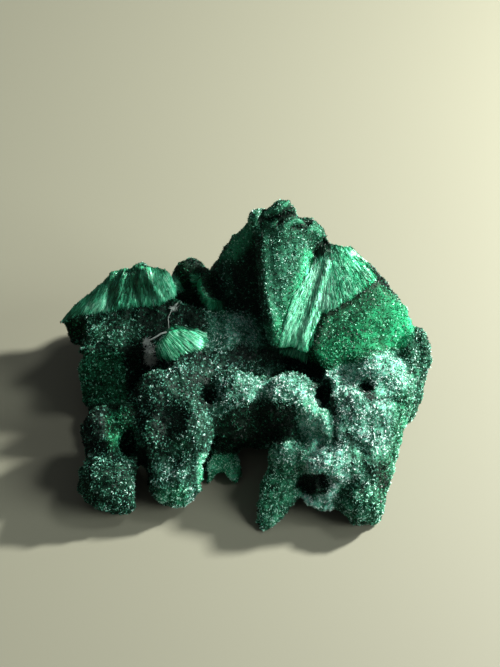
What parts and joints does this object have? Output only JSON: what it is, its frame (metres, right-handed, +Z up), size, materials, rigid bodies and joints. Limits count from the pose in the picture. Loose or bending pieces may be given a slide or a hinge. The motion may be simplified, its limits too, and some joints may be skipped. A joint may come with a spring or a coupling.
{
  "type": "malachite specimen",
  "caption": "Fibrous malachite cluster: rounded velvety green lobes in front, a pointed tent of radiating silky fibres behind and a ribbed fan at one end, standing on its own feet",
  "frame": {"origin": "middle of the footprint, on the plane that the specimen stands on", "axes": "+X to the specimen's right along its length, +Y to its back, +Z up"},
  "size_m": [0.0604, 0.0464, 0.0318],
  "materials": {
    "malachite": "velvety to silky, natural crystal skin"
  },
  "bodies": {
    "root": {"malachite": "malachite"}
  },
  "joints": []
}
